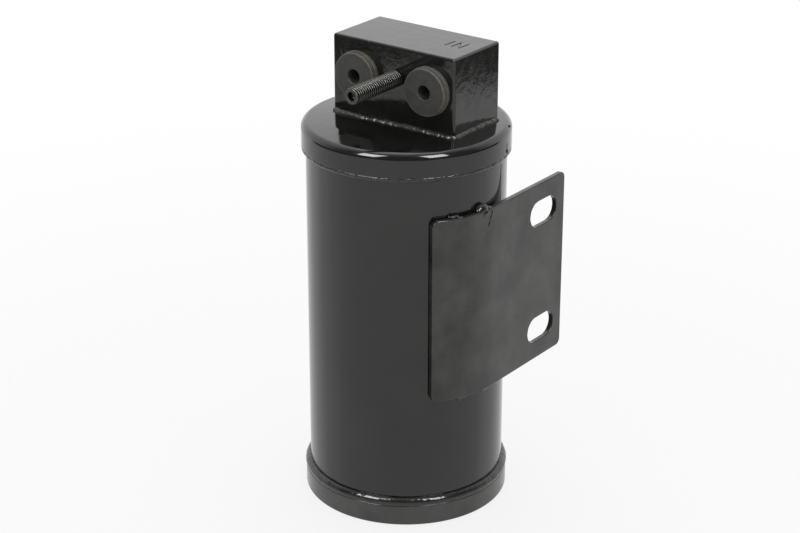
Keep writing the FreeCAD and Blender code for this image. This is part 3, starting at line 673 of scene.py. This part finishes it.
# The sheet's coat is thin, satin and cloudy, with hardly a clear reflection.
bracketEnamel = enamel("satin black enamel on pressed sheet", {
    "dark": "#131312", "light": "#3a3a36", "cloudSize": 15, "gloss": 0.1, "haze": 0.3, "hazeSize": 11,
    "waveSize": 12, "waveDepth": 0.1, "peelSize": 1.4, "peelDepth": 0.002, "nibSpacing": 8, "nibSize": 0.04,
    "nibDepth": 0.02})
sheetRadius = can["radius"] + bracket["gap"] + bracket["sheet"] / 2
wrapLength = radians(bracket["wrap"]) * sheetRadius
bracketHigh = bracket["low"] + bracket["height"]
bracketMiddle = (bracket["low"] + bracketHigh) / 2


def roundedRing(low, high, bend, step, grow):
    # outline of a rounded rectangle in the flat sheet, as (along, up, outward along, outward up)
    points = []
    for cx, cy, start in (
            (high[0] - bend, high[1] - bend, 0), (low[0] + bend, high[1] - bend, 90),
            (low[0] + bend, low[1] + bend, 180), (high[0] - bend, low[1] + bend, 270)):
        for k in range(13):
            a = radians(start + 7.5 * k)
            points.append((cx + bend * cos(a), cy + bend * sin(a), cos(a), sin(a)))
    full = []
    for a, b in zip(points, points[1:] + points[:1]):
        parts = max(1, int(hypot(b[0] - a[0], b[1] - a[1]) / step))
        full += [tuple(a[i] + (b[i] - a[i]) * k / parts for i in range(4)) for k in range(parts)]
    return [(s, u, ns * grow, nu * grow) for s, u, ns, nu in full]


def bendPoint(along, up, depth):
    # sheet coordinates to the bent plate; depth is measured from the middle of the sheet, outwards
    if along < 0:
        a = along / sheetRadius
        r = sheetRadius + depth
        return Vector((r * cos(a), r * sin(a), up)) * mm
    return Vector((sheetRadius + depth, along, up)) * mm


def bendNormal(along, n):
    # n is (along, up, outward)
    a = along / sheetRadius if along < 0 else 0.0
    out = Vector((cos(a), sin(a), 0))
    run = Vector((-sin(a), cos(a), 0))
    return (run * n[0] + Vector((0, 0, n[1])) + out * n[2]).normalized()


def skew(outward, along, depth, half):
    # the sheared end of the wrap slants, so that its dark end face shows
    if outward < 0 and along < -wrapLength / 2:
        lean = bracket["shearOut"] + bracket["shearIn"]
        return -outward * (bracket["shearOut"] - lean * (half - depth) / (2 * half))
    return 0.0


def plateMesh():
    half, soft = bracket["sheet"] / 2, bracket["edgeRound"]
    # spacing of the points on the rims and on the flats, and how far these stay off the rims
    ringStep, columnStep, rowStep, clear = 1.2, 1.4, 3.1, 1.4
    outer = roundedRing(
        (-wrapLength, bracket["low"]), (bracket["reach"], bracketHigh), bracket["corner"], ringStep, 1)
    rings = [outer]
    for side in (-1, 1):
        z = bracketMiddle + side * bracket["slotPitch"] / 2
        rings.append(roundedRing(
            (bracket["slotY"] - bracket["slotLength"] / 2, z - bracket["slotWidth"] / 2),
            (bracket["slotY"] + bracket["slotLength"] / 2, z + bracket["slotWidth"] / 2),
            bracket["slotWidth"] / 2 - 0.001, ringStep, -1))
    verts, normals, faces = [], [], []
    rims = {1: [], -1: []}
    for ring in rings:
        rows = []
        for k in range(10):
            # the section's edge: a rounded corner on each side of the sheet
            side = 1 if k < 5 else -1
            a = radians(90 - 22.5 * k if k < 5 else -22.5 * (k - 5))
            inset = soft * (1 - cos(a))
            depth = side * (half - soft) + soft * sin(a)
            row = []
            for s, u, ns, nu in ring:
                row.append(len(verts))
                along, up = s - ns * inset, u - nu * inset
                along += skew(ns, s, depth, half)
                verts.append(bendPoint(along, up, depth))
                normals.append(bendNormal(along, (ns * cos(a), nu * cos(a), sin(a))))
            rows.append(row)
        count = len(ring)
        for a, b in zip(rows, rows[1:]):
            for k in range(count):
                n = (k + 1) % count
                quad = (a[k], b[k], b[n], a[n])
                faces.append(quad if ring is outer else quad[::-1])
        rims[1].append(rows[0])
        rims[-1].append(rows[-1])
    # the two flats are filled between the rims, with rows close enough to follow the bend
    flat, loops = [], []
    for ring in rings:
        start = len(flat)
        flat += [Vector((s - ns * soft, u - nu * soft)) for s, u, ns, nu in ring]
        loops += [(start + k, start + (k + 1) % len(ring)) for k in range(len(ring))]
    rimCount = len(flat)

    def insideSheet(s, u, margin):
        if not (-wrapLength + margin < s < bracket["reach"] - margin):
            return False
        if not (bracket["low"] + margin < u < bracketHigh - margin):
            return False
        for side in (-1, 1):
            z = bracketMiddle + side * bracket["slotPitch"] / 2
            core = (bracket["slotLength"] - bracket["slotWidth"]) / 2
            ds = max(0.0, abs(s - bracket["slotY"]) - core)
            if hypot(ds, u - z) < bracket["slotWidth"] / 2 + margin:
                return False
        return True

    for s in np.arange(-wrapLength + columnStep, bracket["reach"], columnStep):
        for u in np.arange(bracket["low"] + 2.5, bracketHigh, rowStep):
            if insideSheet(s, u, clear):
                flat.append(Vector((s, u)))
    filled = delaunay_2d_cdt(flat, loops, [], 0, 1e-5)
    spots, triangles = filled[0], filled[2]
    for side in (1, -1):
        rim = [v for ring in rims[side] for v in ring]
        index = {}
        for k, spot in enumerate(spots):
            if k < rimCount:
                index[k] = rim[k]
            else:
                index[k] = len(verts)
                verts.append(bendPoint(spot.x, spot.y, side * half))
                normals.append(bendNormal(spot.x, (0, 0, side)))
        for triangle in triangles:
            centre = sum((spots[k] for k in triangle), Vector((0, 0))) / 3
            if not insideSheet(centre.x, centre.y, soft * 0.5) or cornerCut(centre):
                continue
            corners = tuple(index[k] for k in triangle)
            faces.append(corners if side == 1 else corners[::-1])
    mesh = bpy.data.meshes.new("plate")
    mesh.from_pydata(verts, [], faces)
    mesh.polygons.foreach_set("use_smooth", [True] * len(mesh.polygons))
    mesh.update()
    mesh.normals_split_custom_set_from_vertices(normals)
    return mesh


def cornerCut(point):
    # True in the bit of a corner that the rounding leaves out
    bend = bracket["corner"]
    ds = max(-wrapLength + bend - point.x, point.x - bracket["reach"] + bend)
    du = max(bracket["low"] + bend - point.y, point.y - bracketHigh + bend)
    return ds > 0 and du > 0 and hypot(ds, du) > bend - 0.2


finishPiece(plateMesh(), "bracketPlate", bracketEnamel, "bracket_paint", "mounting_bracket")
print("bracket made")


# Tack welds: run-together blobs that bridge the bracket's edge and the can.
def blobMesh(lobes, radius, height, seed, rough):
    # lobes are (angle, way out, way up, half width, half height, half thickness), from a radius and a height
    maker = bmesh.new()
    for angle, outwards, up, wide, high, thick in lobes:
        a, r, z = radians(angle), radius + outwards, height + up
        made = bmesh.ops.create_icosphere(maker, subdivisions=4, radius=1.0)["verts"]
        turn = Matrix.Rotation(a, 4, "Z")
        for v in made:
            lump = 1 + rough * noise.noise(v.co * 1.6 + Vector((seed, angle, z)))
            p = turn @ Vector((v.co.x * thick, v.co.y * wide, v.co.z * high)) * lump
            v.co = (p + Vector((r * cos(a), r * sin(a), z))) * mm
    mesh = bpy.data.meshes.new("blob")
    maker.to_mesh(mesh)
    maker.free()
    return plainMesh(mesh, [
        ("REMESH", {"mode": "VOXEL", "voxel_size": 0.22 * mm, "use_smooth_shade": True}, None),
        ("SMOOTH", {"factor": 0.5, "iterations": 6}, None)])


plateMid = can["radius"] + bracket["gap"] + 0.6
tacks = [
    ("tackTopLeft", "bracket_weld_1", bracketHigh, [
        (-29.6, -0.6, 0.4, 0.9, 0.8, 1.1), (-27.6, 0.2, 0.3, 1.1, 1.1, 1.3),
        (-25.4, -0.2, 0.5, 1.0, 0.8, 1.2), (-23.6, 0.8, -0.7, 1.5, 1.3, 1.2),
        (-28.6, 1.0, -1.2, 0.8, 0.8, 0.8), (-26.0, 1.0, -1.6, 1.7, 0.8, 0.8)]),
    ("tackTopRight", "bracket_weld_2", bracketHigh, [
        (-11.0, 0.1, -0.1, 1.9, 2.2, 2.1), (-8.4, -0.1, 0.3, 3.6, 2.9, 2.3),
        (-7.4, 0.5, -1.6, 3.4, 2.8, 1.85), (-4.2, 0.4, -0.6, 2.6, 1.9, 1.6),
        (-2.2, 1.6, -2.8, 1.1, 2.2, 0.8), (-3.4, 1.65, -5.2, 1.0, 2.3, 0.8),
        (-4.6, 1.7, -7.8, 0.9, 2.2, 0.75)]),
    ("tackLowLeft", "bracket_weld_3", bracket["low"], [
        (-23.4, 0, 0.1, 2.0, 1.6, 1.8), (-21.0, 0, 0, 1.9, 1.4, 1.8), (-22.4, -0.9, -1.6, 1.0, 1.5, 0.9)]),
    ("tackLowRight", "bracket_weld_4", bracket["low"], [
        (-6.0, 0, 0, 2.0, 1.6, 1.8), (-3.2, -0.2, -0.1, 2.0, 1.4, 1.8)])]
for count, (pieceName, nodeName, height, lobes) in enumerate(tacks):
    tackMesh = blobMesh(lobes, plateMid, height, 5.0 + count * 3, 0.07)
    finishPiece(tackMesh, pieceName, weldEnamel, "weld_paint", nodeName)

# Paint drops: a run on the cap's skirt and a drop on its shoulder, with heights from the ground.
runs = [
    ("paintRun", [
        (16.3, -0.1, 183.6, 0.5, 1.9, 0.3), (16.3, 0, 181.2, 0.8, 1.2, 0.6),
        (17.0, -0.1, 180.3, 0.7, 0.8, 0.6)]),
    ("paintDrop", [(26.8, -0.9, 190.2, 0.9, 0.8, 0.6)])]
for count, (pieceName, lobes) in enumerate(runs):
    finishPiece(blobMesh(lobes, topCap["radius"], 0, 40.0 + count, 0.05), pieceName, canEnamel, "black_paint")
print("tacks and paint drops made")


# What the can holds inside keeps its CAD shape and takes its own finish.
def pressedSteel():
    # Pressed plain steel: bare grey metal with small cloudy stains.
    material, add, place = newMaterial("bare steel, pressed")
    stain = add("TexNoise", {
        "Vector": place, "Scale": 1 / (5.0 * mm), "Detail": 5.0, "Roughness": 0.6})
    gloss = add("MapRange", (stain, 0.3, 0.7, 0.3, 0.48))
    grain = add("TexNoise", {"Vector": place, "Scale": 1 / (0.5 * mm), "Detail": 3.0})
    closePatterned(add, stain, ((0.3, "#8f8c87"), (0.7, "#b4b2ad")), gloss, grain, 0.01, 1.0)
    return material


def gauzeSteel():
    # Woven steel gauze: crossing wires as a raised grid with dark meshes between, drawn coarser than it is.
    material, add, place = newMaterial("steel gauze, woven")
    waveScale = 1 / (0.6 * mm) / 6.2832
    waves = [add("TexWave", {"Vector": place, "Scale": waveScale}, bands_direction=axis)
             for axis in ("X", "Z")]
    weave = add("Math", [wave.outputs["Fac"] for wave in waves], operation="MAXIMUM")
    gloss = add("MapRange", (weave, 0.0, 1.0, 0.6, 0.35))
    closePatterned(add, weave, ((0.35, "#3a3833"), (0.8, "#a5a196")), gloss, weave, 0.12, 1.0)
    return material


def woolFelt():
    # Pressed wool felt: pale, wholly matt, with tangled short hairs.
    material, add, place = newMaterial("wool felt, pressed")
    hairs = add("TexNoise", {
        "Vector": place, "Scale": 1 / (0.8 * mm), "Detail": 6.0, "Roughness": 0.75, "Distortion": 1.5})
    closePatterned(add, hairs, ((0.3, "#b9b3a2"), (0.7, "#d9d4c6")), 0.95, hairs, 0.2)
    return material


def dryingBeads():
    # Molecular sieve beads: packed dull tan balls about two millimetres across, with painted shade darkening
    # the gaps between them.
    material, add, place = newMaterial("molecular sieve beads, packed")
    cells = add("TexVoronoi", {
        "Vector": place, "Scale": 1 / (2.0 * mm), "Randomness": 0.8}).outputs["Distance"]
    ball = add("MapRange", (cells, 0.0, 0.8, 1.0, 0.0))
    # painted shade: the colour darkens from each ball's middle out to the gaps between the balls
    closePatterned(add, cells, ((0.1, "#cbbfa3"), (0.75, "#5f5646")), 0.85, ball, 0.8)
    return material


steel, gauze, wool, beads = pressedSteel(), gauzeSteel(), woolFelt(), dryingBeads()
innerFinish = {
    "pickup_tube": steel, "pickup_strainer": gauze, "lower_plate": steel, "lower_filter": wool,
    "desiccant_bed": beads, "upper_filter": wool, "upper_plate": steel, "pack_spring": steel}
for nodeName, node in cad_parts.items():
    # a hidden node takes the can's finish; the piece that stands for it has its own
    material = innerFinish.get(nodeName, canEnamel)
    if nodeName in innerFinish or node.hide_render:
        for materialSlot in node.material_slots:
            materialSlot.material = material
print("inner finishes set")


# The studio: a strip of white paper under the object, soft boxes, and a surround that is bright behind.
# Lengths are in metres. The strip runs along the camera's way of looking, and whitens from shadowTo on.
sweep = {"left": 0.67, "right": 0.65, "front": 0.95, "back": 4.0, "shadowTo": 0.25, "whiteFrom": 0.6,
         "white": 0.8}
lookWay = Vector((-0.5994, 0.8004))
sideWay = Vector((0.8004, 0.5994))


def paperMaterial():
    # Seamless white paper: near-white with a faint grain; it keeps the shadow and whitens away from it.
    material, add, place = newMaterial("white paper, seamless")
    grain = add("TexNoise", {"Vector": place, "Scale": 1 / (4.0 * mm), "Detail": 3.0})
    colour = add("ValToRGB", (grain,), ((0.3, "#ececec"), (0.7, "#f0f0f0")))
    shader = add("BsdfPrincipled", {"Base Color": colour, "Roughness": 0.7, "Specular IOR Level": 0.2})
    far = add("VectorMath", (place,), operation="LENGTH").outputs["Value"]
    share = add("MapRange", (far, sweep["shadowTo"], sweep["whiteFrom"], sweep["white"], 1.0))
    white = add("Emission", ((1, 1, 1, 1), 1.0))
    path = add("LightPath").outputs
    seen = add("Math", (path["Is Camera Ray"], path["Is Glossy Ray"]), operation="MAXIMUM")
    whiter = add("Math", (seen, share), operation="MULTIPLY")
    mixed = add("MixShader", (whiter, shader, white))
    add("OutputMaterial", {"Surface": mixed})
    return material


paperMesh = bpy.data.meshes.new("paper")
paperCorners = [sideWay * a + lookWay * b for a, b in (
    (-sweep["left"], -sweep["front"]), (sweep["right"], -sweep["front"]), (sweep["right"], sweep["back"]),
    (-sweep["left"], sweep["back"]))]
paperMesh.from_pydata([(corner.x, corner.y, 0) for corner in paperCorners], [], [(0, 1, 2, 3)])
paper = newObject("paper", paperMesh)
paperMesh.materials.append(paperMaterial())

# "back" and "front" are the brightness that a reflection meets behind and in front of the object, "below"
# and "top" under and above it, and "even" is the light that falls on it from all round.
surround = {"cameraWay": (0.596, -0.803, 0.0), "turn": (-0.35, 0.2), "lowTurn": (-0.5, -0.35),
            "lift": (0.8, 0.97), "back": 1.3, "front": 0.2, "below": 0.08, "top": 0.9, "even": 0.8}


def makeWorld():
    # the camera sees white, the object is lit evenly, and reflections find a bright back and a dim front
    world = bpy.data.worlds.new("studio surround")
    bpy.context.scene.world = world
    world.use_nodes = True
    world.node_tree.nodes.clear()
    add = partial(addNode, world.node_tree)
    path = add("LightPath").outputs
    way = add("TexCoord").outputs["Generated"]
    # 1 straight towards the camera's side, -1 straight behind the object
    front = add("VectorMath", (way, surround["cameraWay"]), operation="DOT_PRODUCT").outputs["Value"]
    height = add("SeparateXYZ", (way,)).outputs[2]
    dim = add("MapRange", (front, *surround["turn"], surround["back"], surround["front"]))
    low = add("MapRange", (front, *surround["lowTurn"], surround["back"], surround["below"]))
    level = add("MapRange", (height, -0.02, 0.02, low, dim))
    above = add("MapRange", (height, *surround["lift"], level, surround["top"]))
    strengths = (surround["even"], above, 1.0)
    lit, shown, white = [add("Background", ((1, 1, 1, 1), strength)) for strength in strengths]
    part = add("MixShader", (path["Is Glossy Ray"], lit, shown))
    whole = add("MixShader", (path["Is Camera Ray"], part, white))
    add("OutputWorld", {"Surface": whole})


makeWorld()


def roundAbout(azimuth, elevation, distance):
    # a place seen from the can: azimuth from +X towards +Y, in degrees
    a, e = radians(azimuth), radians(elevation)
    way = Vector((cos(a) * cos(e), sin(a) * cos(e), sin(e)))
    return way * distance + Vector((0, 0, 0.1))


# the two tall boxes make the bright streaks on the rounded edges, and the third one lights from above
target = Vector((0, 0, 0.11))
softBoxes = {
    "leftBox": {"place": roundAbout(-98, 42, 1.6), "size": (0.56, 0.95), "radiance": 14, "diffuse": False},
    "rightBox": {"place": roundAbout(-18, 42, 1.6), "size": (0.56, 0.95), "radiance": 14, "diffuse": False},
    "overheadBox": {"place": Vector((-0.3, 0.4, 1.7)), "size": (1.0, 1.0), "radiance": 1.6, "diffuse": True}}
for boxName, box in softBoxes.items():
    lampData = bpy.data.lights.new(boxName, "AREA")
    lampData.shape = "RECTANGLE"
    lampData.size, lampData.size_y = box["size"]
    # the energy that gives the box the brightness that a reflection of it shows
    lampData.energy = box["radiance"] * lampData.size * lampData.size_y * pi
    lamp = newObject(boxName, lampData)
    lamp.location = box["place"]
    lamp.rotation_mode = "QUATERNION"
    lamp.rotation_quaternion = (target - box["place"]).to_track_quat("-Z", "Y")
    lamp.visible_camera = False
    lamp.visible_diffuse = box["diffuse"]

view = {"place": (0.55873, -0.75150, 0.51518), "down": 23.13, "turn": 36.817, "lens": 94.41, "sensor": 36.0}
camera = newObject("camera", bpy.data.cameras.new("camera"))
camera.location = view["place"]
camera.rotation_euler = (radians(90 - view["down"]), 0, radians(view["turn"]))
camera.data.lens = view["lens"]
camera.data.sensor_width = view["sensor"]
bpy.context.scene.camera = camera
bpy.context.scene.view_settings.view_transform = "Standard"
print("studio made")
